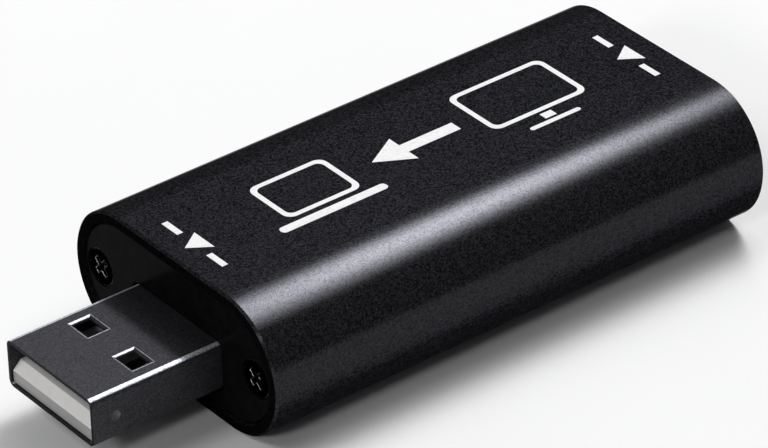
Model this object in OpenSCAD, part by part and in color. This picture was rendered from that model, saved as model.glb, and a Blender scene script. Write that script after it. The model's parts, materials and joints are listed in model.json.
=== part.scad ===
// Video capture stick: an extruded sleeve with a data plug at one end and a video socket at the other.
// X runs along the sleeve from the plug to the socket, Y across it and Z up from the face it lies on.

/* [Sleeve] */
// Length of the extruded sleeve
sleeve_len = 52; // [50:0.5:70]
// Width of the sleeve over its rounded sides
sleeve_w = 28; // [27:0.5:34]
// Height of the sleeve, which is the diameter of its rounded sides
sleeve_h = 13; // [12.5:0.25:16]
// Thickness of the sleeve wall
wall = 1; // [0.8:0.05:1.2]
// Chamfer on the outer edge of each mouth
mouth_chamfer = 0.2; // [0.1:0.05:0.4]
// Outer diameter of the screw channel on each inner side
channel_d = 4.2; // [3.8:0.1:4.8]
// Thickness of the web between a screw channel and the side wall
channel_web = 2.1; // [1.6:0.1:2.6]
// Width of the slot that opens the screw channel to the bore
channel_slot = 0.9; // [0.5:0.1:1.2]
// Width of the ledge under each edge of the board
ledge_w = 1.2; // [0.8:0.1:1.6]
// Thickness of the lip over each edge of the board
lip_t = 0.8; // [0.6:0.1:1.2]
// Reach of the lip over the board
lip_reach = 0.9; // [0.5:0.1:1.2]

/* [End caps] */
// Thickness of an end cap
cap_t = 1.8; // [1.4:0.1:2.4]
// Depth of a cap's face behind the rim of the sleeve
cap_recess = 0.25; // [0.1:0.05:0.6]
// Clearance between a cap and the sleeve wall
cap_gap = 0.1; // [0.05:0.05:0.2]
// Chamfer on the edges of a cap
cap_chamfer = 0.15; // [0.1:0.05:0.3]

/* [Screws] */
// Distance of a screw's axis from the side of the sleeve
screw_inset = 3.2; // [3.1:0.1:3.6]
// Diameter of the screw head
head_d = 3.4; // [3:0.1:3.6]
// Height of the straight rim of the head
head_rim = 0.15; // [0.1:0.05:0.3]
// Depth of the head below the face of the cap
head_sink = 0.1; // [0:0.05:0.3]
// Diameter of the screw shank
shank_d = 1.9; // [1.6:0.1:2.2]
// Length of the screw with its head
screw_len = 7; // [5:0.5:9]
// Clearance round the screw in the cap
screw_clear = 0.08; // [0.05:0.01:0.15]
// Clearance round the screw in its channel
thread_clear = 0.03; // [0.02:0.01:0.1]
// Chamfer on the end of the screw
screw_point = 0.4; // [0.2:0.1:0.6]
// Length of the cross recess over its arms
recess_len = 1.9; // [1.4:0.1:2.2]
// Width of an arm of the cross recess
recess_w = 0.5; // [0.3:0.05:0.7]
// Depth of the cross recess
recess_deep = 0.8; // [0.5:0.1:1]

/* [Data plug] */
// Length of the plug outside the sleeve
plug_out = 12.5; // [12:0.25:14]
// Length of the plug inside the sleeve
plug_in = 6.25; // [5.5:0.25:8]
// Width of the plug shell
plug_w = 12; // [11.5:0.1:12.5]
// Height of the plug shell
plug_h = 4.5; // [4.3:0.1:4.8]
// Outer radius of the shell's bends
plug_r = 0.6; // [0.4:0.05:1]
// Thickness of the sheet that the connector shells are folded from
sheet = 0.3; // [0.2:0.05:0.35]
// Clearance between the plug and its opening in the cap
plug_gap = 0.25; // [0.1:0.05:0.4]
// Distance from the tip of the plug to its windows
window_back = 5.4; // [4.5:0.1:6]
// Clear length of a window along the plug
window_l = 1.6; // [1.5:0.1:2.5]
// Clear width of a window across the plug
window_w = 2.2; // [1.8:0.1:2.6]
// Radius of the rolled outer edges of a window
window_roll = 0.35; // [0.2:0.05:0.4]
// Distance between the middles of two windows
window_pitch = 6.2; // [5:0.1:6.6]
// Width of the seam along the underside of the shell
seam = 0.12; // [0.05:0.01:0.2]
// Radius of the ball that presses a side dimple
dimple_r = 1; // [0.6:0.1:1.4]
// Depth of a side dimple
dimple_deep = 0.15; // [0.05:0.01:0.2]
// Distance from the tip of the plug to its side dimples
dimple_back = 2.2; // [1.6:0.1:3]
// Distance of the tongue's front behind the tip of the shell
tongue_set = 0.2; // [0.1:0.05:0.5]
// Thickness of the plug's tongue
tongue_t = 1.9; // [1.7:0.05:2.1]
// Bevel on the front edge of the tongue
tongue_bevel = 0.8; // [0.4:0.1:1.1]
// Depth of the plug's hollow from its tip
hollow = 12; // [11.5:0.1:12.4]
// Clearance between an insulator and its shell
fit = 0.05; // [0.02:0.01:0.1]
// Thickness of a plug contact
contact_t = 0.25; // [0.15:0.05:0.3]
// Width of a plug contact
contact_w = 1; // [0.7:0.1:1.4]
// Distance of the outer contacts from the middle of the plug
contact_outer = 3.5; // [3.2:0.1:4]
// Distance of the inner contacts from the middle of the plug
contact_inner = 1; // [0.9:0.1:1.4]
// Distance from the tip to the front of the outer contacts
contact_set = 2.2; // [1.6:0.1:3]
// How far the inner contacts start behind the outer ones
contact_lag = 1; // [0.5:0.1:1.5]
// Distance of a contact's tail behind the shell
tail_gap = 0.35; // [0.2:0.05:0.6]
// Length of a contact's foot on the board
foot_l = 1.2; // [0.8:0.1:1.6]

/* [Connector legs] */
// Width of a shell's leg
leg_w = 1.8; // [1.2:0.1:2.2]
// Length of a leg below the board
leg_proud = 0.35; // [0.1:0.05:0.5]
// Clearance round a leg in its slot in the board
leg_clear = 0.12; // [0.08:0.01:0.2]

/* [Video socket] */
// Width of the socket's hollow
socket_w = 14; // [13.6:0.1:14.4]
// Height of the socket's hollow
socket_h = 4.55; // [4.4:0.05:4.8]
// Slanted cut on the two lower corners of the hollow
socket_cut = 1.8; // [1.4:0.1:2.2]
// Inner radius of the socket shell's bends
socket_r = 0.5; // [0.3:0.05:0.7]
// Height of the socket's middle above the board
socket_rise = 3.7; // [3.4:0.05:4]
// Length of the socket shell from its mouth
socket_depth = 12.3; // [12:0.1:13]
// Height of the opening under the shell's back, over the board
back_open = 2.4; // [2:0.1:2.8]
// Clearance between the socket and its opening in the cap
socket_gap = 0.2; // [0.1:0.05:0.4]
// Depth of the socket's hollow
socket_hollow = 9; // [8.6:0.1:9.2]
// Thickness of the socket's block behind the hollow
block_t = 2; // [1.6:0.1:2.2]
// Width of the block's foot on the board
block_foot_w = 12; // [11:0.5:13]
// Width of the socket's tongue
blade_w = 11; // [10.5:0.1:11.6]
// Thickness of the socket's tongue
blade_t = 1.3; // [1.1:0.05:1.5]
// Distance of the tongue's front behind the mouth
blade_set = 0.8; // [0.5:0.1:1.5]
// Chamfer on the front edges of the tongue
blade_chamfer = 0.3; // [0.1:0.05:0.5]
// Number of contacts on the upper face of the tongue
upper_count = 10; // [2:1:10]
// Distance between neighbouring contacts of one row
row_pitch = 1; // [0.9:0.02:1.06]
// Width of a socket contact
pin_w = 0.3; // [0.2:0.02:0.4]
// Thickness of a socket contact
pin_t = 0.2; // [0.12:0.02:0.24]
// Height of a contact over the face of the tongue
pin_proud = 0.05; // [0.02:0.01:0.1]
// Distance from the front of the tongue to the front of its contacts
pin_set = 0.8; // [0.5:0.1:1.5]
// Length of a spring finger's slot
finger_l = 5; // [4:0.1:5.5]
// Distance from the mouth to the finger slots
finger_set = 2.2; // [1.8:0.1:2.6]
// Distance from the front of the slot to the finger's bow
finger_bow = 1.3; // [0.9:0.1:1.8]
// Width of a spring finger
finger_w = 1.4; // [1:0.1:1.6]
// Gap beside a spring finger
finger_gap = 0.3; // [0.2:0.05:0.4]
// How far a spring finger bends into the hollow
finger_dip = 0.4; // [0.2:0.05:0.5]
// Distance of the spring fingers from the middle of the socket
finger_y = 2.8; // [2.2:0.1:3.2]

/* [Circuit board] */
// Thickness of the board
board_t = 1.2; // [1:0.1:1.3]
// Height of the board above the floor of the sleeve
board_lift = 0.65; // [0.55:0.05:0.9]
// Clearance between the board and its grooves
board_clear = 0.1; // [0.05:0.01:0.2]
// Gap between an end of the board and a cap
board_end_gap = 0.2; // [0.1:0.05:0.4]
// Free gap between neighbouring components
part_gap = 1.2; // [0.8:0.1:1.6]

/* [Chips] */
// Side of the capture chip's body
chip_side = 7; // [6:0.5:7]
// Height of the capture chip's body
chip_h = 1.4; // [1:0.1:1.8]
// Number of leads on each side of the capture chip
chip_leads = 12; // [4:1:12]
// Distance between the capture chip's leads
chip_pitch = 0.5; // [0.4:0.05:0.5]
// Width of a capture chip's lead
chip_lead_w = 0.22; // [0.16:0.02:0.3]
// Length of the memory chip's body
memory_l = 4.9; // [4.5:0.1:5.5]
// Width of the memory chip's body
memory_w = 3.9; // [3.5:0.1:4]
// Height of the memory chip's body
memory_h = 1.45; // [1:0.05:1.8]
// Number of leads on each side of the memory chip
memory_leads = 4; // [2:1:4]
// Distance between the memory chip's leads
memory_pitch = 1.27; // [1:0.01:1.3]
// Width of a memory chip's lead
memory_lead_w = 0.42; // [0.3:0.02:0.5]
// Length of the regulator's body
regulator_l = 6.5; // [5.5:0.1:6.7]
// Width of the regulator's body
regulator_w = 3.5; // [3:0.1:3.7]
// Height of the regulator's body
regulator_h = 1.6; // [1.2:0.1:2]
// Number of narrow leads on the regulator
regulator_lead_count = 3; // [2:1:3]
// Distance between the regulator's leads
regulator_pitch = 2.3; // [2:0.05:2.4]
// Width of a regulator's lead
regulator_lead_w = 0.7; // [0.5:0.05:0.9]
// Width of the regulator's tab
regulator_tab_w = 3; // [2.5:0.1:3.5]
// How far a lead reaches out from its chip
lead_reach = 1; // [0.8:0.05:1.2]
// Length of a lead's flat foot
lead_foot = 0.5; // [0.3:0.05:0.6]
// Thickness of a lead
lead_t = 0.15; // [0.1:0.01:0.2]
// Height of a chip's body above the board
standoff = 0.1; // [0.05:0.01:0.2]
// Diameter of the round mark at a chip's first lead
mark_d = 0.6; // [0.4:0.1:0.8]
// Distance of the mark from the chip's two edges
mark_inset = 0.8; // [0.6:0.1:1]
// Depth of the mark
mark_deep = 0.08; // [0.04:0.02:0.2]
// Distance of the memory chip and the regulator from the middle of the board
chip_y = 4.3; // [4:0.1:4.5]

/* [Crystal] */
// Length of the crystal's base
crystal_l = 11.4; // [10:0.1:12]
// Width of the crystal's base
crystal_w = 4.7; // [4.4:0.1:5]
// Thickness of the crystal's base
crystal_base_t = 0.8; // [0.5:0.1:1.2]
// Height of the crystal's can
can_h = 2.7; // [2:0.1:3.6]
// Width of the crystal's can
can_w = 3.7; // [3.2:0.1:3.8]
// Length of the crystal's can
can_l = 10.2; // [9:0.1:10.4]
// Height of the rolled foot of the can
can_rim_h = 0.3; // [0.2:0.05:0.5]
// How far the rolled foot stands out
can_rim = 0.25; // [0.1:0.05:0.3]

/* [Small components] */
// Length of a capacitor or resistor
small_l = 1.6; // [1.2:0.1:1.8]
// Width of a capacitor or resistor
small_w = 0.8; // [0.6:0.1:0.9]
// Height of a capacitor
capacitor_h = 0.8; // [0.5:0.1:1]
// Height of a resistor
resistor_h = 0.45; // [0.3:0.05:0.6]
// Length of a metal end
small_end = 0.3; // [0.2:0.05:0.4]
// Capacitors along each side of the capture chip
capacitor_count = 4; // [1:1:4]
// Distance between neighbouring capacitors
capacitor_pitch = 2.2; // [2:0.1:2.4]
// Number of resistors in front of the socket
resistor_count = 6; // [2:2:6]
// Distance between neighbouring resistors
resistor_pitch = 1.8; // [1.4:0.1:2.2]

/* [Hidden] */
$fn = 64;
over = 1;
sides = [-1, 1];
half_turn = 180;
roll_step = sheet / 20;

// Places along X: the tip of the plug, the two rims of the sleeve and the seats of the caps
x_tip = -(plug_out + sleeve_len) / 2;
x_rim = x_tip + plug_out;
x_end = x_rim + sleeve_len;
seat = cap_recess + cap_t;
x_seat_plug = x_rim + seat;
x_seat_socket = x_end - seat;

// Section of the sleeve
mid_z = sleeve_h / 2;
bore_w = sleeve_w - 2 * wall;
bore_h = sleeve_h - 2 * wall;
round_y = (sleeve_w - sleeve_h) / 2;
screw_y = sleeve_w / 2 - screw_inset;
head_cone = (head_d - shank_d) / 2;

// Board between its ledges and lips
board_z = wall + board_lift;
board_top = board_z + board_t;
board_half = round_y + sqrt(pow(bore_h / 2, 2) - pow(mid_z - board_z, 2)) - board_clear;
x_board = x_seat_plug + board_end_gap;
board_len = x_seat_socket - board_end_gap - x_board;

// Data plug, which lies on the board
plug_z = board_top + plug_h / 2;
x_plug_back = x_rim + plug_in;
plug_floor = board_top + sheet + fit;
tongue_z = plug_floor + tongue_t;
x_plug_leg = x_plug_back - leg_w;
x_tail = x_plug_back + tail_gap + contact_t;
x_foot = x_tail + foot_l;

// Video socket, whose mouth is level with the rim
socket_z = board_top + socket_rise;
x_socket_back = x_end - socket_depth;
x_hollow = x_end - socket_hollow;
x_block_back = x_hollow - block_t;
x_blade = x_end - blade_set;
x_pin_tail = x_block_back - fit - pin_t;
x_pin_foot = x_pin_tail - foot_l - pin_t;
lower_count = upper_count - 1;
floor_end = x_hollow - 2 * sheet;
socket_legs = [x_end - finger_set - finger_l / 2, x_block_back + leg_w / 2];
socket_leg_y = socket_w / 2 + sheet / 2;

// Angle of the slanted lower corners
corner_turn = 45;

// Components on the free stretch of the board
x_regulator = x_foot + part_gap + regulator_l / 2;
x_chip = x_regulator + regulator_l / 2 + part_gap + lead_reach + chip_side / 2;
x_crystal = x_chip + chip_side / 2 + lead_reach + part_gap + crystal_w / 2;
capacitor_y = chip_side / 2 + lead_reach + part_gap;
x_resistor = x_pin_foot - part_gap / 2 - small_l / 2;

// Bar along X with half-round sides and a chamfer at both ends, standing on Z = 0
module stadium_bar(len, w, h, c) {
    for (side = sides)
        translate([0, side * (w - h) / 2, h / 2])
            rotate([0, 90, 0])
                rotate_extrude()
                    polygon([[0, 0], [h / 2 - c, 0], [h / 2, c], [h / 2, len - c], [h / 2 - c, len], [0, len]]);
    side_profile(w - h)
        polygon([[0, c], [c, 0], [len - c, 0], [len, c], [len, h - c], [len - c, h], [c, h], [0, h - c]]);
}

// Outline drawn in X and Z, made w wide about Y = 0
module side_profile(w) {
    rotate([90, 0, 0])
        linear_extrude(w, center = true)
            children();
}

// Bar along X with four rounded edges, centred on Y and Z
module rounded_bar(len, w, h, r) {
    translate([0, r - w / 2, -h / 2])
        cube([len, w - 2 * r, h]);
    translate([0, -w / 2, r - h / 2])
        cube([len, w, h - 2 * r]);
    for (y = sides * (w / 2 - r), z = sides * (h / 2 - r))
        translate([0, y, z])
            rotate([0, 90, 0])
                cylinder(h = len, r = r);
}

// Bar along X with the section of the video socket's hollow, grown by g, centred on Y and Z
module socket_bar(len, g) {
    r = socket_r + g;
    slant = socket_r * tan(corner_turn / 2);
    a = socket_w / 2 - socket_r;
    b = socket_w / 2 - socket_cut - slant;
    top = socket_h / 2 - socket_r;
    low = socket_cut + slant - socket_h / 2;
    core = [[-a, top], [a, top], [a, low], [b, -top], [-b, -top], [-a, low]];
    rotate([90, 0, 90])
        linear_extrude(len) {
            polygon(core);
            for (i = [0:len(core) - 1]) {
                p = core[i];
                q = core[(i + 1) % len(core)];
                n = r * [p.y - q.y, q.x - p.x] / norm(q - p);
                translate(p)
                    circle(r);
                polygon([p, q, q + n, p + n]);
            }
        }
}

// Contact that runs along z, bends down at x_bend and ends in a foot on the board
module bent_contact(x_front, x_bend, x_foot, z, t, w) {
    inner = x_bend - sign(x_bend - x_front) * t;
    side_profile(w)
        polygon([[x_front, z], [x_front, z + t], [x_bend, z + t], [x_bend, board_top + t],
            [x_foot, board_top + t], [x_foot, board_top], [inner, board_top], [inner, z]]);
}

// Lead that leaves a chip at height z over the board and ends in a flat foot at x = reach
module gull_lead(z, w) {
    foot = lead_reach - lead_foot;
    bend = foot / 2;
    side_profile(w)
        polygon([[0, z], [0, z + lead_t], [bend, z + lead_t], [foot, lead_t], [lead_reach, lead_t],
            [lead_reach, 0], [foot - lead_t / 2, 0], [bend - lead_t / 2, z]]);
}

// Row of leads along one side of a chip
module lead_row(count, pitch, z, w) {
    for (i = [0:count - 1])
        translate([0, (i - (count - 1) / 2) * pitch, 0])
            gull_lead(z, w);
}

// Screw along X with the face of its head at x = 0
module end_screw() {
    cone_end = head_rim + head_cone;
    difference() {
        rotate([0, 90, 0])
            rotate_extrude()
                polygon([[0, 0], [head_d / 2, 0], [head_d / 2, head_rim], [shank_d / 2, cone_end],
                    [shank_d / 2, screw_len - screw_point], [shank_d / 2 - screw_point, screw_len],
                    [0, screw_len]]);
        for (turn = [45, 135])
            rotate([turn, 0, 0])
                cube([2 * recess_deep, recess_len, recess_w], center = true);
    }
}

// Countersunk hole in a cap whose face is at x = 0
module screw_hole() {
    rim_r = head_d / 2 + screw_clear;
    hole_r = shank_d / 2 + screw_clear;
    rim_x = head_sink + head_rim;
    rotate([0, 90, 0])
        rotate_extrude()
            polygon([[0, -over], [rim_r, -over], [rim_r, rim_x], [hole_r, rim_x + head_cone],
                [hole_r, cap_t + over], [0, cap_t + over]]);
}

// Plate that fills a mouth of the sleeve, with its face at x = 0 and its two screw holes
module cap_plate() {
    difference() {
        translate([0, 0, wall + cap_gap])
            stadium_bar(cap_t, bore_w - 2 * cap_gap, bore_h - 2 * cap_gap, cap_chamfer);
        for (side = sides)
            translate([0, side * screw_y, mid_z])
                screw_hole();
    }
}

// Puts a piece drawn from x = 0 inwards at the plug end, and at the socket end
module at_plug_end(depth) {
    translate([x_rim + depth, 0, 0])
        children();
}

module at_socket_end(depth) {
    translate([x_end - depth, 0, 0])
        mirror([1, 0, 0])
            children();
}

module both_screws() {
    for (side = sides)
        translate([0, side * screw_y, mid_z])
            end_screw();
}

module sleeve() {
    run = x_seat_socket - x_seat_plug;
    color("#2b2b2d")
        difference() {
            translate([x_rim, 0, 0])
                stadium_bar(sleeve_len, sleeve_w, sleeve_h, mouth_chamfer);
            difference() {
                translate([x_rim - over, 0, wall])
                    stadium_bar(sleeve_len + 2 * over, bore_w, bore_h, mouth_chamfer);
                translate([x_seat_plug, 0, 0])
                    for (side = [0, 1])
                        mirror([0, side, 0])
                            inner_ribs(run);
            }
        }
}

// Screw channel, board ledge and board lip on one inner side of the sleeve
module inner_ribs(run) {
    bore_d = shank_d + 2 * thread_clear;
    half_w = sleeve_w / 2;
    translate([0, board_half - ledge_w, 0])
        cube([run, half_w, board_z]);
    translate([0, board_half - lip_reach, board_top + board_clear])
        cube([run, half_w, lip_t]);
    difference() {
        union() {
            translate([0, screw_y, mid_z])
                rotate([0, 90, 0])
                    cylinder(h = run, d = channel_d);
            translate([0, screw_y, mid_z - channel_web / 2])
                cube([run, screw_inset, channel_web]);
        }
        translate([-over, screw_y, mid_z])
            rotate([0, 90, 0])
                cylinder(h = run + 2 * over, d = bore_d);
        translate([-over, screw_y - channel_d, mid_z - channel_slot / 2])
            cube([run + 2 * over, channel_d, channel_slot]);
    }
}

module plug_end_cap() {
    color("#1b1b1d")
        at_plug_end(cap_recess)
            difference() {
                cap_plate();
                translate([-over, 0, plug_z])
                    rounded_bar(cap_t + 2 * over, plug_w + 2 * plug_gap, plug_h + 2 * plug_gap,
                        plug_r + plug_gap);
            }
}

module socket_end_cap() {
    color("#1b1b1d")
        at_socket_end(cap_recess)
            difference() {
                cap_plate();
                translate([-over, 0, socket_z])
                    socket_bar(cap_t + 2 * over, sheet + socket_gap);
            }
}

module plug_end_screws() {
    color("#151516")
        at_plug_end(cap_recess + head_sink)
            both_screws();
}

module socket_end_screws() {
    color("#151516")
        at_socket_end(cap_recess + head_sink)
            both_screws();
}

// Cutter for a slot along x through a sheet whose outer face is at z = 0, with rolled outer edges
module rolled_slot(len, w) {
    edge = w / 2 + window_roll;
    translate([-len / 2, 0, 0])
        rotate([90, 0, 90])
            linear_extrude(len)
                difference() {
                    translate([-edge, -2 * sheet])
                        square([2 * edge, 3 * sheet]);
                    for (y = sides * edge)
                        translate([y, -window_roll - roll_step]) {
                            circle(window_roll);
                            translate([-window_roll, -2 * sheet])
                                square([2 * window_roll, 2 * sheet]);
                        }
                }
}

// Cutter for one window of the plug, about the middle of the window in the shell's outer face
module window_cut() {
    intersection() {
        rolled_slot(window_l + 4 * window_roll, window_w);
        rotate([0, 0, 90])
            rolled_slot(window_w + 4 * window_roll, window_l);
    }
}

module plug_shell() {
    len = plug_out + plug_in;
    color("#c9c9cb") {
        difference() {
            translate([x_tip, 0, plug_z])
                rounded_bar(len, plug_w, plug_h, plug_r);
            translate([x_tip - over, 0, plug_z])
                rounded_bar(len + 2 * over, plug_w - 2 * sheet, plug_h - 2 * sheet, plug_r - sheet);
            for (side = sides, y = sides * window_pitch / 2)
                translate([x_tip + window_back + window_l / 2, y, plug_z + side * plug_h / 2])
                    rotate([side < 0 ? half_turn : 0, 0, 0])
                        window_cut();
            translate([x_tip - over, -seam / 2, plug_z - plug_h])
                cube([len + 2 * over, seam, plug_h]);
            for (y = sides * (plug_w / 2 + dimple_r - dimple_deep))
                translate([x_tip + dimple_back, y, plug_z])
                    sphere(dimple_r);
        }
        for (y = sides * (plug_w - sheet) / 2)
            leg(x_plug_leg, y, plug_z);
    }
}

// Leg of a connector shell, from height z down through the board
module leg(x, y, z) {
    low = board_z - leg_proud;
    translate([x - leg_w / 2, y - sheet / 2, low])
        cube([leg_w, sheet, z - low]);
}

module leg_slot(x, y) {
    translate([x - leg_w / 2 - leg_clear, y - sheet / 2 - leg_clear, board_z - over])
        cube([leg_w + 2 * leg_clear, sheet + 2 * leg_clear, board_t + 2 * over]);
}

// Middles of the plug contacts and how far each starts behind the outer ones
plug_rows = [for (side = sides) each [[side * contact_outer, 0], [side * contact_inner, contact_lag]]];

module plug_insulator() {
    x_front = x_tip + tongue_set;
    x_block = x_tip + hollow;
    top = board_top + plug_h - sheet - fit;
    inner_w = plug_w - 2 * (sheet + fit);
    color("#e9e8e2")
        difference() {
            intersection() {
                side_profile(inner_w)
                    polygon([[x_front, plug_floor], [x_front, tongue_z - tongue_bevel],
                        [x_front + tongue_bevel, tongue_z], [x_block, tongue_z], [x_block, top],
                        [x_plug_back, top], [x_plug_back, plug_floor]]);
                translate([x_tip, 0, plug_z])
                    rounded_bar(plug_out + plug_in, inner_w, plug_h - 2 * (sheet + fit), plug_r - sheet);
            }
            for (row = plug_rows)
                translate([x_tip + contact_set + row[1] - fit, row[0] - contact_w / 2 - fit,
                        tongue_z - contact_t])
                    cube([plug_out + plug_in, contact_w + 2 * fit, contact_t + fit]);
        }
}

module plug_contacts() {
    color("#d8b25a")
        for (row = plug_rows)
            translate([0, row[0], 0])
                bent_contact(x_tip + contact_set + row[1], x_tail, x_foot, tongue_z - contact_t,
                    contact_t, contact_w);
}

module video_socket_shell() {
    color("#c4c5c8") {
        difference() {
            translate([x_socket_back, 0, socket_z])
                socket_bar(socket_depth, sheet);
            translate([x_socket_back + sheet, 0, socket_z])
                socket_bar(socket_depth, 0);
            translate([x_socket_back - over, -socket_w, board_top])
                cube([floor_end - x_socket_back + over, 2 * socket_w, back_open]);
            for (y = sides * finger_y)
                translate([x_end - finger_set - finger_l, y - finger_w / 2 - finger_gap, board_top])
                    cube([finger_l, finger_w + 2 * finger_gap, 2 * socket_rise]);
        }
        for (y = sides * finger_y, face = [0, 1])
            translate([x_end, y, socket_z])
                mirror([0, 0, face])
                    spring_finger();
        for (x = socket_legs, y = sides * socket_leg_y)
            leg(x, y, socket_z);
    }
}

// Spring finger in the upper sheet of the socket, with the mouth at x = 0 and the middle at z = 0
module spring_finger() {
    z = socket_h / 2;
    root = -finger_set - finger_l - sheet;
    bow = -finger_set - finger_bow;
    tip = -finger_set - finger_gap;
    side_profile(finger_w)
        polygon([[root, z], [root + 2 * sheet, z], [bow, z - finger_dip], [tip, z], [tip, z + sheet],
            [bow, z + sheet - finger_dip], [root + 2 * sheet, z + sheet], [root, z + sheet]]);
}

// Block that fills the back of the socket's hollow, with its upper corners cut clear of the bends
module socket_block() {
    slant = fit * tan(corner_turn / 2);
    a = socket_w / 2 - fit;
    b = socket_w / 2 - socket_cut - slant;
    top = socket_h / 2 - fit;
    low = socket_cut + slant - socket_h / 2;
    rotate([90, 0, 90])
        linear_extrude(block_t)
            polygon([[socket_r - a, top], [a - socket_r, top], [a, top - socket_r], [a, low], [b, -top],
                [-b, -top], [-a, low], [-a, top - socket_r]]);
}

// Middles of a row of socket contacts
function row_y(count) = [for (i = [0:count - 1]) (i - (count - 1) / 2) * row_pitch];

upper_z = socket_z + blade_t / 2 + pin_proud - pin_t;
lower_z = socket_z - blade_t / 2 - pin_proud;

module video_socket_insulator() {
    half_t = blade_t / 2;
    x_pin = x_blade - pin_set;
    pin_run = x_pin - x_block_back + over;
    slot_w = pin_w + 2 * fit;
    color("#202022")
        difference() {
            union() {
                translate([x_block_back, 0, socket_z])
                    socket_block();
                translate([x_block_back, -block_foot_w / 2, board_top])
                    cube([floor_end - fit - x_block_back, block_foot_w, socket_z - board_top]);
                translate([0, 0, socket_z])
                    side_profile(blade_w)
                        polygon([[x_block_back, -half_t], [x_block_back, half_t],
                            [x_blade - blade_chamfer, half_t], [x_blade, half_t - blade_chamfer],
                            [x_blade, blade_chamfer - half_t], [x_blade - blade_chamfer, -half_t]]);
            }
            for (y = row_y(upper_count))
                translate([x_block_back - over, y - slot_w / 2, upper_z])
                    cube([pin_run, slot_w, pin_t + fit]);
            for (y = row_y(lower_count))
                translate([x_block_back - over, y - slot_w / 2, lower_z - fit])
                    cube([pin_run, slot_w, pin_t + fit]);
        }
}

module video_socket_upper_contacts() {
    color("#d8b25a")
        for (y = row_y(upper_count))
            translate([0, y, 0])
                bent_contact(x_blade - pin_set, x_pin_tail, x_pin_foot, upper_z, pin_t, pin_w);
}

module video_socket_lower_contacts() {
    color("#d8b25a")
        for (y = row_y(lower_count))
            translate([0, y, 0])
                bent_contact(x_blade - pin_set, x_pin_tail, x_pin_foot, lower_z, pin_t, pin_w);
}

module circuit_board() {
    color("#1f5a3a")
        difference() {
            translate([x_board, -board_half, board_z])
                cube([board_len, 2 * board_half, board_t]);
            for (y = sides * (plug_w - sheet) / 2)
                leg_slot(x_plug_leg, y);
            for (x = socket_legs, y = sides * socket_leg_y)
                leg_slot(x, y);
        }
}

// Moulded chip body with the mark at its first lead, centred over the origin of the board's top
module chip_body(l, w, h) {
    difference() {
        translate([-l / 2, -w / 2, standoff])
            cube([l, w, h]);
        translate([mark_inset - l / 2, mark_inset - w / 2, standoff + h - mark_deep])
            cylinder(h = over, d = mark_d);
    }
}

module on_board(x, y) {
    translate([x, y, board_top])
        children();
}

module capture_chip() {
    color("#262628")
        on_board(x_chip, 0)
            chip_body(chip_side, chip_side, chip_h);
}

module capture_chip_leads() {
    color("#bfc0c2")
        on_board(x_chip, 0)
            for (turn = [0:90:270])
                rotate([0, 0, turn])
                    translate([chip_side / 2, 0, 0])
                        lead_row(chip_leads, chip_pitch, standoff + chip_h / 2, chip_lead_w);
}

module memory_chip() {
    color("#262628")
        on_board(x_regulator, chip_y)
            chip_body(memory_l, memory_w, memory_h);
}

module memory_chip_leads() {
    color("#bfc0c2")
        on_board(x_regulator, chip_y)
            for (turn = [90, 270])
                rotate([0, 0, turn])
                    translate([memory_w / 2, 0, 0])
                        lead_row(memory_leads, memory_pitch, standoff + memory_h / 2, memory_lead_w);
}

module voltage_regulator() {
    color("#262628")
        on_board(x_regulator, -chip_y)
            chip_body(regulator_l, regulator_w, regulator_h);
}

module regulator_leads() {
    lead_z = standoff + regulator_h / 2;
    color("#bfc0c2")
        on_board(x_regulator, -chip_y) {
            rotate([0, 0, 90])
                translate([regulator_w / 2, 0, 0])
                    lead_row(regulator_lead_count, regulator_pitch, lead_z, regulator_lead_w);
            rotate([0, 0, 270])
                translate([regulator_w / 2, 0, 0])
                    gull_lead(lead_z, regulator_tab_w);
        }
}

module crystal_base() {
    color("#2a2a2c")
        on_board(x_crystal, 0)
            translate([-crystal_w / 2, -crystal_l / 2, 0])
                cube([crystal_w, crystal_l, crystal_base_t]);
}

module crystal_can() {
    color("#cfd0d2")
        on_board(x_crystal, 0)
            translate([0, 0, crystal_base_t]) {
                round_prism(can_l, can_w, can_h);
                round_prism(can_l + 2 * can_rim, can_w + 2 * can_rim, can_rim_h);
            }
}

// Upright prism with half-round ends, long in Y
module round_prism(l, w, h) {
    translate([-w / 2, (w - l) / 2, 0])
        cube([w, l - w, h]);
    for (side = sides)
        translate([0, side * (l - w) / 2, 0])
            cylinder(h = h, d = w);
}

// Places of the capacitors beside the capture chip and of the resistors in front of the socket
capacitor_places = [for (side = sides, i = [0:capacitor_count - 1])
    [x_chip + (i - (capacitor_count - 1) / 2) * capacitor_pitch, side * capacitor_y]];
resistor_places = [for (i = [0:resistor_count - 1])
    [x_resistor, (i - (resistor_count - 1) / 2) * resistor_pitch]];

module small_body(h) {
    translate([small_end - small_l / 2, -small_w / 2, 0])
        cube([small_l - 2 * small_end, small_w, h]);
}

module small_ends(h) {
    for (x = [-small_l / 2, small_l / 2 - small_end])
        translate([x, -small_w / 2, 0])
            cube([small_end, small_w, h]);
}

module capacitor_bodies() {
    color("#b08d62")
        for (p = capacitor_places)
            on_board(p.x, p.y)
                small_body(capacitor_h);
}

module capacitor_ends() {
    color("#c6c7c9")
        for (p = capacitor_places)
            on_board(p.x, p.y)
                small_ends(capacitor_h);
}

module resistor_bodies() {
    color("#1d1d1f")
        for (p = resistor_places)
            on_board(p.x, p.y)
                small_body(resistor_h);
}

module resistor_ends() {
    color("#c6c7c9")
        for (p = resistor_places)
            on_board(p.x, p.y)
                small_ends(resistor_h);
}

sleeve();
plug_end_cap();
socket_end_cap();
plug_end_screws();
socket_end_screws();
plug_shell();
plug_insulator();
plug_contacts();
video_socket_shell();
video_socket_insulator();
video_socket_upper_contacts();
video_socket_lower_contacts();
circuit_board();
capture_chip();
capture_chip_leads();
memory_chip();
memory_chip_leads();
voltage_regulator();
regulator_leads();
crystal_base();
crystal_can();
capacitor_bodies();
capacitor_ends();
resistor_bodies();
resistor_ends();
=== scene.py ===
import json
import math

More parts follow.
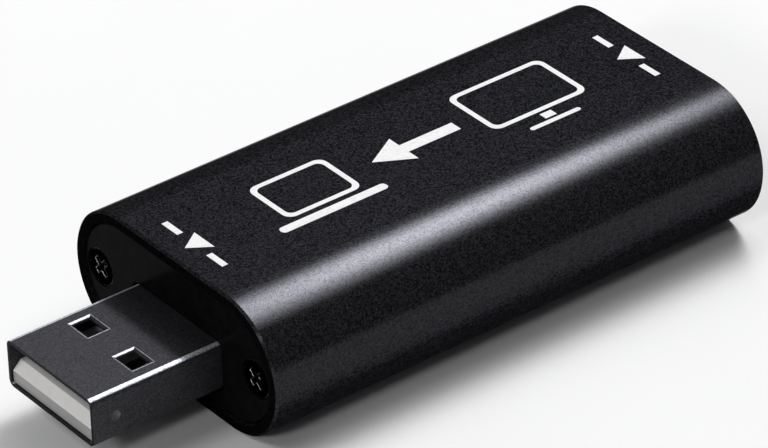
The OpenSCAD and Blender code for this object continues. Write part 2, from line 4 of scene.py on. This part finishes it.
import bmesh
import bpy
from mathutils import Matrix, Vector


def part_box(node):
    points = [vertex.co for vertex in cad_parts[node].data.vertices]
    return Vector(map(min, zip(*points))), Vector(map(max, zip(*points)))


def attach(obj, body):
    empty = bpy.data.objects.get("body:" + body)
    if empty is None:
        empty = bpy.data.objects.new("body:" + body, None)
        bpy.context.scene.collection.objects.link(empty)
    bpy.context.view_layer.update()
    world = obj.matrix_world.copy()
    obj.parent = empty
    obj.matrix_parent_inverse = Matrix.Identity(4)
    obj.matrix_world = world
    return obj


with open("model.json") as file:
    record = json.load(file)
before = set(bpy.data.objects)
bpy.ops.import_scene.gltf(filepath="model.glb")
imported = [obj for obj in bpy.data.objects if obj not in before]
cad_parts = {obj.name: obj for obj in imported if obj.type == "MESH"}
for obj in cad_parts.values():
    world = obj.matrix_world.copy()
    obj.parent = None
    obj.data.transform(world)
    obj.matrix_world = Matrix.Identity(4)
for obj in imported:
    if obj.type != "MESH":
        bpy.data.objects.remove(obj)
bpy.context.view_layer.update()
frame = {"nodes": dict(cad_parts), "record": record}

MM = 0.001
ROOT = "root"


# Shader building blocks, with sizes in millimetres

EVEN = (1, 1, 1)
BLUE_CAST = (0.97, 0.98, 1.1)
EASE_SAMPLES = 6
# The span that cloudy noise mostly keeps to
NOISE_LOW = 0.3
NOISE_HIGH = 0.7
# Lengthwise part of the normal where a face starts to count as an end, and where it fully does
END_START = 0.8
END_FULL = 0.98
# Upward part of the normal on a flat sheet, where its bend starts, where it fades, and where it ends
SHEET_FLAT = 0.9985
BEND_START = 0.994
BEND_LATE = 0.8
BEND_END = 0.7
# Lengthwise part of the normal up to which a bend fully counts, and from which it doesn't
ALONG_FULL = 0.05
ALONG_NONE = 0.2
# Sideways part of the normal on a side wall, and its lengthwise part on a dimple's slope
WALL_START = 0.6
WALL_FULL = 0.8
SLOPE_START = 0.003
SLOPE_FULL = 0.02
# Match of the eased and the true normal away from an edge, and on it
EDGE_NONE = 0.99
EDGE_FULL = 0.88


def shader_input(mat, socket):
    """An input of the material's shader."""
    return mat.node_tree.nodes["Principled BSDF"].inputs[socket]


def start_material(name, color, roughness, metallic=0.0, **sockets):
    """A principled material whose even values sit on the shader's own sockets."""
    mat = bpy.data.materials.new(name)
    mat.use_nodes = True
    shader_input(mat, "Base Color").default_value = (*color, 1.0)
    shader_input(mat, "Roughness").default_value = roughness
    shader_input(mat, "Metallic").default_value = metallic
    for socket, value in sockets.items():
        shader_input(mat, socket.replace("_", " ")).default_value = value
    return mat


def add_node(mat, kind, operation=None):
    """A new shader node, with its operation where it has one."""
    node = mat.node_tree.nodes.new("ShaderNode" + kind)
    if operation:
        node.operation = operation
    return node


def link(mat, source, target):
    """Lets an output feed an input."""
    mat.node_tree.links.new(source, target)


def place(mat, size, stretch=EVEN):
    """Coordinates of the piece itself, in units of size."""
    where = add_node(mat, "TexCoord")
    scale = add_node(mat, "Mapping")
    scale.inputs["Scale"].default_value = [s / (size * MM) for s in stretch]
    link(mat, where.outputs["Object"], scale.inputs["Vector"])
    return scale.outputs["Vector"]


def noise(mat, size, detail=2.0, stretch=EVEN):
    """Cloudy noise with grains of about size."""
    tex = add_node(mat, "TexNoise")
    tex.inputs["Scale"].default_value = 1.0
    tex.inputs["Detail"].default_value = detail
    link(mat, place(mat, size, stretch), tex.inputs["Vector"])
    return tex.outputs["Fac"]


def cells(mat, size):
    """An even random value for each cell of about size."""
    tex = add_node(mat, "TexVoronoi")
    tex.inputs["Scale"].default_value = 1.0
    link(mat, place(mat, size), tex.inputs["Vector"])
    split = add_node(mat, "SeparateColor")
    link(mat, tex.outputs["Color"], split.inputs["Color"])
    return split.outputs["Red"]


def remap(mat, fac, low, high, start=0.0, end=1.0):
    """fac from start..end turned into low..high."""
    node = add_node(mat, "MapRange")
    node.inputs["From Min"].default_value = start
    node.inputs["From Max"].default_value = end
    node.inputs["To Min"].default_value = low
    node.inputs["To Max"].default_value = high
    link(mat, fac, node.inputs["Value"])
    return node.outputs["Result"]


def vary(mat, socket, fac, low, high, start=NOISE_LOW, end=NOISE_HIGH):
    """Lets a shader value follow fac from low to high."""
    link(mat, remap(mat, fac, low, high, start, end), shader_input(mat, socket))


def tint(mat, fac, dark, light, start=NOISE_LOW, end=NOISE_HIGH):
    """Lets the colour follow fac from dark to light."""
    ramp = add_node(mat, "ValToRGB")
    first, last = ramp.color_ramp.elements
    first.position = start
    first.color = (*dark, 1.0)
    last.position = end
    last.color = (*light, 1.0)
    link(mat, fac, ramp.inputs["Fac"])
    link(mat, ramp.outputs["Color"], shader_input(mat, "Base Color"))


def times(mat, first, second):
    """The product of two values."""
    node = add_node(mat, "Math", "MULTIPLY")
    link(mat, first, node.inputs[0])
    link(mat, second, node.inputs[1])
    return node.outputs["Value"]


def dim_base(mat, share):
    """Scales the colour that already reaches the shader by share."""
    socket = shader_input(mat, "Base Color")
    scale = add_node(mat, "VectorMath", "SCALE")
    link(mat, socket.links[0].from_socket, scale.inputs[0])
    link(mat, share, scale.inputs["Scale"])
    link(mat, scale.outputs["Vector"], socket)


def normal_part(mat, axis, normal="Normal"):
    """The part of a face's normal along an axis, from -1 to 1."""
    shape = add_node(mat, "NewGeometry")
    split = add_node(mat, "SeparateXYZ")
    link(mat, shape.outputs[normal], split.inputs["Vector"])
    return split.outputs[axis]


def facing(mat, axis, normal="Normal"):
    """How squarely a face looks along an axis, either way, from 0 to 1."""
    size = add_node(mat, "Math", "ABSOLUTE")
    link(mat, normal_part(mat, axis, normal), size.inputs[0])
    return size.outputs["Value"]


def end_share(mat, share, start=END_START, end=END_FULL):
    """1 on faces that run along the stick, easing to share on those that look along it."""
    return remap(mat, facing(mat, "X", "True Normal"), 1.0, share, start, end)


def shoulder(mat):
    """1 where a sheet starts to bend down from its flat upper face, else 0."""
    upward = normal_part(mat, "Z")
    off_flat = remap(mat, upward, 0.0, 1.0, SHEET_FLAT, BEND_START)
    off_side = remap(mat, upward, 0.0, 1.0, BEND_END, BEND_LATE)
    lengthwise = end_share(mat, 0.0, ALONG_FULL, ALONG_NONE)
    return times(mat, times(mat, off_flat, off_side), lengthwise)


def dimple(mat):
    """1 on the slope of a dimple in a side wall, else 0."""
    sideways = remap(mat, facing(mat, "Y"), 0.0, 1.0, WALL_START, WALL_FULL)
    sloping = remap(mat, facing(mat, "X"), 0.0, 1.0, SLOPE_START, SLOPE_FULL)
    return times(mat, sideways, sloping)


def eased_normal(mat, radius):
    """The normal as it is where edges are rounded by radius."""
    ease = add_node(mat, "Bevel")
    ease.samples = EASE_SAMPLES
    ease.inputs["Radius"].default_value = radius * MM
    return ease.outputs["Normal"]


def rubbed_edge(mat, size):
    """1 within about size of a sharp edge, else 0."""
    shape = add_node(mat, "NewGeometry")
    match = add_node(mat, "VectorMath", "DOT_PRODUCT")
    link(mat, eased_normal(mat, size), match.inputs[0])
    link(mat, shape.outputs["True Normal"], match.inputs[1])
    return remap(mat, match.outputs["Value"], 0.0, 1.0, EDGE_NONE, EDGE_FULL)


def relief(mat, fac, depth, edge=0.0):
    """Bumps of a depth that follow fac, over edges that are eased by edge."""
    bump = add_node(mat, "Bump")
    bump.inputs["Strength"].default_value = 1.0
    bump.inputs["Distance"].default_value = depth * MM
    link(mat, fac, bump.inputs["Height"])
    if edge:
        link(mat, eased_normal(mat, edge), bump.inputs["Normal"])
    link(mat, bump.outputs["Normal"], shader_input(mat, "Normal"))


def mottle(mat, cloud, dark, light, rough_cloud, low, high, bump, depth, edge):
    """Clouds of colour, of roughness from low to high, and of bumps, each of its own size."""
    tint(mat, noise(mat, cloud, detail=3.0), dark, light)
    vary(mat, "Roughness", noise(mat, rough_cloud), low, high)
    relief(mat, noise(mat, bump), depth, edge)


def streak(mat, fac, dark, light, low, high, depth, edge):
    """Colour, roughness from low to high and bumps that all follow one pattern."""
    tint(mat, fac, dark, light)
    vary(mat, "Roughness", fac, low, high)
    relief(mat, fac, depth, edge)


def grey(value, warm=0.0):
    """A grey, a little warmer or colder."""
    return (value * (1 + warm), value, value * (1 - warm))


def cool(value):
    """A grey with the blue cast of an anodised or plated skin."""
    return tuple(value * cast for cast in BLUE_CAST)


# Materials

def anodised_aluminium():
    """Blasted and anodised black, with most of its grain in its dull part, and painted shade on the end
    faces.
    """
    mat = start_material("black_anodised", cool(0.029), roughness=0.18, metallic=0.64,
                         Specular_IOR_Level=0.0, Specular_Tint=(*grey(0.12), 1.0))
    grain = cells(mat, size=0.12)
    tint(mat, grain, dark=cool(0.0165), light=cool(0.042), start=0.0, end=1.0)
    vary(mat, "Metallic", grain, low=0.82, high=0.46, start=0.0, end=1.0)
    # Painted shade: the faces that look along the stick are darkened to a quarter.
    dim_base(mat, end_share(mat, share=0.25))
    vary(mat, "Roughness", noise(mat, size=0.6), low=0.17, high=0.19)
    relief(mat, noise(mat, size=0.13, detail=1.5), depth=0.0006, edge=0.03)
    return mat


def cap_plastic():
    """Black plastic with hardly any gloss."""
    mat = start_material("black_cap", grey(0.004), roughness=0.22, Specular_IOR_Level=0.006)
    mottle(mat, cloud=0.9, dark=grey(0.003), light=grey(0.0055),
           rough_cloud=0.35, low=0.18, high=0.26, bump=0.3, depth=0.001, edge=0.06)
    return mat


def black_screw():
    """Black zinc that is rubbed bright along its edges."""
    mat = start_material("black_zinc", grey(0.006), roughness=0.28, metallic=1.0,
                         Specular_Tint=(*grey(0.3), 1.0))
    skin = noise(mat, size=0.25, detail=3.0)
    tint(mat, skin, dark=grey(0.004), light=grey(0.009, warm=0.03), start=0.35, end=0.75)
    dim_base(mat, remap(mat, rubbed_edge(mat, size=0.12), low=1.0, high=60.0))
    vary(mat, "Roughness", noise(mat, size=0.15), low=0.22, high=0.34)
    relief(mat, noise(mat, size=0.12), depth=0.001, edge=0.12)
    return mat


def nickel_plate(name, level, edge_shade_share, bend_highlight_level=0.6, grain=0.4, dimple_glint_gain=2.0):
    """Satin nickel on sheet, of one level, give or take its grain.

    Its colour is raised along its upper bends to the bend level, a painted highlight, and in its dimples
    by the dimple gain, a painted glint; on cut edges it is lowered to the edge share of its level,
    painted shade.
    """
    mat = start_material(name, cool(level), roughness=0.5, metallic=0.74, Specular_IOR_Level=0.0)
    dark = cool(level * (1 - grain))
    light = cool(level * (1 + grain))
    tint(mat, cells(mat, size=0.1), dark, light, start=0.0, end=1.0)
    # Painted shade: the cut edges, which look along the stick, are darkened to a share of the level.
    cut_edge_shade = end_share(mat, edge_shade_share)
    # Painted highlight: the colour is raised along the upper bends, where the key light reflects.
    upper_bend_highlight = remap(mat, shoulder(mat), low=1.0, high=bend_highlight_level / level)
    # Painted glint: the colour is raised on the slopes of the dimples.
    dimple_glint = remap(mat, dimple(mat), low=1.0, high=dimple_glint_gain)
    dim_base(mat, times(mat, cut_edge_shade, times(mat, upper_bend_highlight, dimple_glint)))
    vary(mat, "Roughness", noise(mat, size=0.4), low=0.47, high=0.53)
    relief(mat, noise(mat, size=0.6, detail=1.0), depth=0.00015, edge=0.04)
    return mat


def white_plastic():
    """White plastic that light enters a little, with painted shade on the faces that look along the
    stick.
    """
    mat = start_material("white_moulding", grey(0.87, warm=0.018), roughness=0.42,
                         Subsurface_Weight=0.08, Subsurface_Radius=(0.0006, 0.0005, 0.0004))
    clouds = noise(mat, size=1.2, detail=3.0)
    tint(mat, clouds, dark=grey(0.84, warm=0.02), light=grey(0.9, warm=0.015))
    # Painted shade: the faces that look along the stick are darkened to about a third.
    dim_base(mat, end_share(mat, share=0.35, start=0.9, end=0.99))
    vary(mat, "Roughness", noise(mat, size=0.4), low=0.36, high=0.5)
    relief(mat, noise(mat, size=0.18), depth=0.002, edge=0.08)
    return mat


def gold_contact():
    """Gold flash, wiped along the stick."""
    mat = start_material("gold_flash", (0.83, 0.6, 0.24), roughness=0.24, metallic=1.0)
    wiped = noise(mat, size=0.1, stretch=(0.06, 1, 1))
    streak(mat, wiped, dark=(0.74, 0.52, 0.2), light=(0.88, 0.66, 0.3),
           low=0.18, high=0.34, depth=0.001, edge=0.04)
    return mat


def black_plastic():
    """Matt black glass-filled plastic."""
    mat = start_material("black_moulding", grey(0.018), roughness=0.5, Specular_IOR_Level=0.4)
    mottle(mat, cloud=0.8, dark=grey(0.013), light=grey(0.024),
           rough_cloud=0.3, low=0.42, high=0.58, bump=0.15, depth=0.003, edge=0.05)
    return mat


def board_laminate():
    """Green mask over a woven laminate."""
    mat = start_material("green_board", (0.02, 0.12, 0.05), roughness=0.35)
    weave = noise(mat, size=0.35, detail=1.0, stretch=(1, 0.25, 1))
    tint(mat, weave, dark=(0.012, 0.09, 0.035), light=(0.028, 0.15, 0.065))
    vary(mat, "Roughness", noise(mat, size=0.6), low=0.28, high=0.42)
    relief(mat, weave, depth=0.004, edge=0.04)
    return mat


def chip_moulding():
    """Matt black moulding compound."""
    mat = start_material("chip_compound", grey(0.025), roughness=0.6)
    mottle(mat, cloud=0.5, dark=grey(0.018), light=grey(0.034),
           rough_cloud=0.2, low=0.5, high=0.7, bump=0.1, depth=0.003, edge=0.04)
    return mat


def tinned_lead():
    """Frosted tin."""
    mat = start_material("tin_plate", grey(0.6), roughness=0.36, metallic=1.0)
    frost = noise(mat, size=0.14, detail=3.0)
    streak(mat, frost, dark=grey(0.5), light=grey(0.68),
           low=0.28, high=0.46, depth=0.002, edge=0.03)
    return mat


def can_metal():
    """Drawn metal, brushed along the stick."""
    mat = start_material("drawn_can", grey(0.66), roughness=0.28, metallic=1.0)
    brushed = noise(mat, size=0.1, stretch=(0.08, 1, 1))
    streak(mat, brushed, dark=grey(0.58), light=grey(0.72),
           low=0.22, high=0.36, depth=0.001, edge=0.04)
    return mat


def capacitor_ceramic():
    """Tan ceramic."""
    mat = start_material("tan_ceramic", (0.42, 0.28, 0.15), roughness=0.5)
    mottle(mat, cloud=0.2, dark=(0.36, 0.23, 0.12), light=(0.48, 0.33, 0.19),
           rough_cloud=0.1, low=0.42, high=0.58, bump=0.08, depth=0.002, edge=0.03)
    return mat


def resistor_glaze():
    """Black glaze."""
    mat = start_material("black_glaze", grey(0.015), roughness=0.2)
    mottle(mat, cloud=0.3, dark=grey(0.011), light=grey(0.02),
           rough_cloud=0.15, low=0.15, high=0.26, bump=0.12, depth=0.002, edge=0.03)
    return mat


def white_ink():
    """White ink, a little thin in places."""
    mat = start_material("white_ink", grey(0.84), roughness=0.5)
    cover = noise(mat, size=0.3, detail=3.0)
    tint(mat, cover, dark=grey(0.76), light=grey(0.88), start=0.25, end=0.6)
    vary(mat, "Roughness", noise(mat, size=0.15), low=0.42, high=0.6)
    relief(mat, noise(mat, size=0.15, detail=1.5), depth=0.003)
    return mat


def pale_floor():
    """A plain pale table top."""
    mat = start_material("pale_floor", grey(0.92), roughness=0.75, Specular_IOR_Level=0.2)
    tint(mat, noise(mat, size=40.0), dark=grey(0.91), light=grey(0.93))
    relief(mat, noise(mat, size=1.5), depth=0.01)
    return mat


FINISHES = {
    "anodised_aluminium": anodised_aluminium(),
    "cap_plastic": cap_plastic(),
    "black_screw": black_screw(),
    # Painted shade: the plug's nickel is painted far darker than nickel is, and its cut edges darker
    # still.
    "nickel_plate": nickel_plate("shade_darkened_nickel", level=0.05, edge_shade_share=0.2),
    "white_plastic": white_plastic(),
    "gold_contact": gold_contact(),
    "black_plastic": black_plastic(),
    "board_laminate": board_laminate(),
    "chip_moulding": chip_moulding(),
    "tinned_lead": tinned_lead(),
    "can_metal": can_metal(),
    "capacitor_ceramic": capacitor_ceramic(),
    "resistor_glaze": resistor_glaze(),
}

# Nodes whose colour differs from that of their slot: the socket's shell keeps a plainer nickel, without
# the slot's painted shade
NODE_FINISHES = {
    "video_socket_shell": nickel_plate("plain_nickel", level=0.34, edge_shade_share=1.0),
}

for part in frame["record"]["subparts"]:
    solid = frame["nodes"][part["node"]].data
    solid.materials.clear()
    solid.materials.append(NODE_FINISHES.get(part["node"], FINISHES[part["material_slot"]]))


# White print on the sleeve's flat top, with sizes in millimetres

INK = white_ink()
INK_THICK = 0.012
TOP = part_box("sleeve")[1].z
CORNER_STEPS = 6
LINE_WIDTH = 0.5
LINE_CORNER = 0.9

PLUG_MARK_X = -17.1
SOCKET_MARK_X = 28.9
MARK_Y = 0.3
MARK_HEAD_LENGTH = 2.0
MARK_HEAD_WIDTH = 2.8
MARK_BAR_THICK = 0.6
MARK_BAR_NEAR = 2.0
MARK_BAR_FAR = 4.2

SCREEN_X = 17.7
SCREEN_WIDTH = 10.2
SCREEN_LOW = -2.0
SCREEN_HIGH = 4.8
NECK_WIDTH = 1.2
NECK_LOW = -3.2
NECK_HIGH = -2.35
FOOT_WIDTH = 5.4
FOOT_LOW = -4.0
FOOT_HIGH = -3.5
FOOT_CORNER = 0.24

COMPUTER_X = -5.1
LID_WIDTH = 7.8
LID_LOW = -1.7
LID_HIGH = 4.2
BASE_WIDTH = 11.0
BASE_LOW = -3.2
BASE_HIGH = -2.3
BASE_CORNER = 0.4

ARROW_TIP_X = 1.6
ARROW_NECK_X = 5.0
ARROW_TAIL_X = 10.6
ARROW_Y = 0.8
ARROW_HEAD_WIDTH = 4.0
ARROW_SHAFT_WIDTH = 1.3


def add_piece(name, mesh_builder, material):
    """A piece of the object from a bmesh, riding on the one body."""
    mesh = bpy.data.meshes.new(name)
    bm = bmesh.new()
    mesh_builder(bm)
    bmesh.ops.recalc_face_normals(bm, faces=bm.faces)
    bm.to_mesh(mesh)
    bm.free()
    mesh.materials.append(material)
    piece = bpy.data.objects.new(name, mesh)
    bpy.context.collection.objects.link(piece)
    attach(piece, ROOT)


def ring(bm, points, height):
    """Vertices of one outline at a height in metres."""
    return [bm.verts.new((x * MM, y * MM, height)) for x, y in points]


def band(bm, first, second):
    """Faces between two rings with as many vertices."""
    count = len(first)
    for i in range(count):
        j = (i + 1) % count
        bm.faces.new((first[i], first[j], second[j], second[i]))


def ink_shape(bm, outline, hole=None):
    """A closed film of ink with an outline, and a hole with as many points."""
    loops = [outline] if hole is None else [outline, hole]
    lows = [ring(bm, loop, TOP) for loop in loops]
    highs = [ring(bm, loop, TOP + INK_THICK * MM) for loop in loops]
    for below, above in zip(lows, highs):
        band(bm, below, above)
    for rings in (lows, highs):
        if hole is None:
            bm.faces.new(rings[0])
        else:
            band(bm, *rings)


def bar(x, width, low, high):
    """A rectangle whose middle is at x."""
    left = x - width / 2
    right = x + width / 2
    return [(left, low), (right, low), (right, high), (left, high)]


def soft_bar(x, width, low, high, radius):
    """A rectangle whose middle is at x, with round corners."""
    left = x - width / 2 + radius
    right = x + width / 2 - radius
    bottom = low + radius
    top = high - radius
    middles = ((right, top), (left, top), (left, bottom), (right, bottom))
    points = []
    for quarter, (mid_x, mid_y) in enumerate(middles):
        for i in range(CORNER_STEPS + 1):
            angle = math.radians(90 * quarter + 90 * i / CORNER_STEPS)
            points.append((mid_x + radius * math.cos(angle), mid_y + radius * math.sin(angle)))
    return points


def line_box(bm, x, width, low, high):
    """A line round a rectangle with round corners."""
    outline = soft_bar(x, width, low, high, LINE_CORNER)
    inner_corner = LINE_CORNER - LINE_WIDTH / 2
    hole = soft_bar(x, width - 2 * LINE_WIDTH, low + LINE_WIDTH, high - LINE_WIDTH, inner_corner)
    ink_shape(bm, outline, hole)


def end_mark(x):
    """Draws a small arrow head between two bars, across the sleeve at x."""
    def draw(bm):
        tip = (x - MARK_HEAD_LENGTH / 2, MARK_Y)
        back = x + MARK_HEAD_LENGTH / 2
        half = MARK_HEAD_WIDTH / 2
        ink_shape(bm, [tip, (back, MARK_Y + half), (back, MARK_Y - half)])
        for low, high in ((MARK_BAR_NEAR, MARK_BAR_FAR), (-MARK_BAR_FAR, -MARK_BAR_NEAR)):
            ink_shape(bm, bar(x, MARK_BAR_THICK, MARK_Y + low, MARK_Y + high))
    return draw


def screen_picture(bm):
    """A screen on a foot, at the end where the picture comes in."""
    line_box(bm, SCREEN_X, SCREEN_WIDTH, SCREEN_LOW, SCREEN_HIGH)
    ink_shape(bm, bar(SCREEN_X, NECK_WIDTH, NECK_LOW, NECK_HIGH))
    ink_shape(bm, soft_bar(SCREEN_X, FOOT_WIDTH, FOOT_LOW, FOOT_HIGH, FOOT_CORNER))


def computer_picture(bm):
    """An open folding computer, at the end where the picture goes out."""
    line_box(bm, COMPUTER_X, LID_WIDTH, LID_LOW, LID_HIGH)
    ink_shape(bm, soft_bar(COMPUTER_X, BASE_WIDTH, BASE_LOW, BASE_HIGH, BASE_CORNER))


def flow_arrow(bm):
    """A bold arrow from the screen to the computer."""
    head = ARROW_HEAD_WIDTH / 2
    shaft = ARROW_SHAFT_WIDTH / 2
    ink_shape(bm, [
        (ARROW_TIP_X, ARROW_Y),
        (ARROW_NECK_X, ARROW_Y + head),
        (ARROW_NECK_X, ARROW_Y + shaft),
        (ARROW_TAIL_X, ARROW_Y + shaft),
        (ARROW_TAIL_X, ARROW_Y - shaft),
        (ARROW_NECK_X, ARROW_Y - shaft),
        (ARROW_NECK_X, ARROW_Y - head),
    ])


PRINTS = {
    "print_plug_mark": end_mark(PLUG_MARK_X),
    "print_socket_mark": end_mark(SOCKET_MARK_X),
    "print_screen": screen_picture,
    "print_computer": computer_picture,
    "print_arrow": flow_arrow,
}

for print_name, print_builder in PRINTS.items():
    add_piece(print_name, print_builder, INK)


# Studio, in metres and degrees unless a name says otherwise

FLOOR_HALF = 3.0
SKY_COLOR = (0.97, 0.98, 1.04, 1.0)
SKY_LEVEL = 0.08

# The key light is a stack of strips, each of a half angle and a brightness, so that it fades outwards
KEY_STRIPS = ((5.0, 0.15), (10.0, 0.26), (15.0, 0.22), (20.0, 0.16), (25.0, 0.10), (30.0, 0.06))
KEY_AIM = Vector((5.0, -9.0, 12.0)) * MM
KEY_AZIMUTH = 17.9
KEY_ELEVATION = 57.4
KEY_DISTANCE = 1.5
KEY_STEP = 0.01
KEY_DEPTH = 0.18
KEY_ACROSS = Vector((0.113, 1.0, 0.0))
KEY_SHARE = 0.68

FILL_AIM = Vector((0.0, 0.0, 0.0))
FILL_DISTANCE = 0.8
FILL_LIGHTS = {
    "side_light": {"azimuth": 162.0, "elevation": 50.0, "width": 0.25, "height": 0.25, "share": 0.16},
    "front_light": {"azimuth": 202.0, "elevation": 31.0, "width": 0.12, "height": 0.12, "share": 0.095},
    "top_panel": {"azimuth": 55.0, "elevation": 50.0, "width": 0.4, "height": 0.8, "share": 0.12},
}

WIDTH_PIXELS = 768
FOCAL_PIXELS = 5268.6
SENSOR_MM = 36.0
CLIP_START = 0.01
CLIP_END = 20.0
CAMERA_AIM = Vector((1.70, -0.49, 7.49)) * MM
CAMERA_DISTANCE = 441.66 * MM
CAMERA_AZIMUTH = -127.0
CAMERA_ELEVATION = 32.774
CAMERA_ROLL = -1.744


def sight(azimuth, elevation):
    """The direction at an azimuth, turned from +X towards +Y, and the level direction across it."""
    a = math.radians(azimuth)
    e = math.radians(elevation)
    toward = Vector((math.cos(a) * math.cos(e), math.sin(a) * math.cos(e), math.sin(e)))
    level = Vector((-math.sin(a), math.cos(a), 0.0))
    return toward, level


def set_up(name, data, axes, spot):
    """A lamp or camera at a spot, with its own X, Y and Z along three axes."""
    item = bpy.data.objects.new(name, data)
    pose = Matrix(axes).transposed().to_4x4()
    pose.translation = spot
    item.matrix_world = pose
    bpy.context.collection.objects.link(item)
    return item


def studio_floor():
    """A wide floor under the object."""
    mesh = bpy.data.meshes.new("floor")
    corners = [(x * FLOOR_HALF, y * FLOOR_HALF, 0.0) for x, y in ((-1, -1), (1, -1), (1, 1), (-1, 1))]
    mesh.from_pydata(corners, [], [(0, 1, 2, 3)])
    mesh.materials.append(pale_floor())
    floor = bpy.data.objects.new("floor", mesh)
    bpy.context.collection.objects.link(floor)


def studio_world():
    """A dim even sky."""
    world = bpy.data.worlds.new("studio")
    world.use_nodes = True
    sky = world.node_tree.nodes["Background"]
    sky.inputs["Color"].default_value = SKY_COLOR
    sky.inputs["Strength"].default_value = SKY_LEVEL
    bpy.context.scene.world = world


def softbox(name, aim, azimuth, elevation, distance, width, height, share, across=None):
    """A soft lamp that gives its share of the plain level on the floor.

    The lamp's width is level, or runs along across, and it faces its aim as squarely as that allows.
    """
    toward, level = sight(azimuth, elevation)
    across = (across or level).normalized()
    faces = (toward - across * toward.dot(across)).normalized()
    lamp = bpy.data.lights.new(name, "AREA")
    lamp.shape = "RECTANGLE"
    lamp.size = width
    lamp.size_y = height
    lamp.energy = share * math.pi ** 2 * distance ** 2 / toward.z
    set_up(name, lamp, (across, faces.cross(across), faces), aim + toward * distance)


def key_light():
    """The lamp that shows as the highlight along the sleeve's near edge."""
    widths = [2 * KEY_DISTANCE * math.tan(math.radians(half)) for half, level in KEY_STRIPS]
    weights = [width * level for width, (half, level) in zip(widths, KEY_STRIPS)]
    for step, (width, weight) in enumerate(zip(widths, weights)):
        softbox(f"key_light_{step}", KEY_AIM, KEY_AZIMUTH, KEY_ELEVATION, KEY_DISTANCE + step * KEY_STEP,
                width, KEY_DEPTH, KEY_SHARE * weight / sum(weights), KEY_ACROSS)


def fill_lights():
    """Two small lamps for the plug's end, and a panel that shows in the upper faces."""
    for name, lamp in FILL_LIGHTS.items():
        softbox(name, FILL_AIM, distance=FILL_DISTANCE, **lamp)


def studio_camera():
    """The photograph's own view: long lens, from above the plug's end."""
    back, level = sight(CAMERA_AZIMUTH, CAMERA_ELEVATION)
    upright = back.cross(level)
    turn = math.radians(CAMERA_ROLL)
    right = level * math.cos(turn) + upright * math.sin(turn)
    up = upright * math.cos(turn) - level * math.sin(turn)
    lens = bpy.data.cameras.new("camera")
    lens.sensor_width = SENSOR_MM
    lens.lens = SENSOR_MM * FOCAL_PIXELS / WIDTH_PIXELS
    lens.clip_start = CLIP_START
    lens.clip_end = CLIP_END
    spot = CAMERA_AIM + back * CAMERA_DISTANCE
    bpy.context.scene.camera = set_up("camera", lens, (right, up, back), spot)


studio_floor()
studio_world()
key_light()
fill_lights()
studio_camera()
bpy.context.scene.view_settings.view_transform = "Standard"
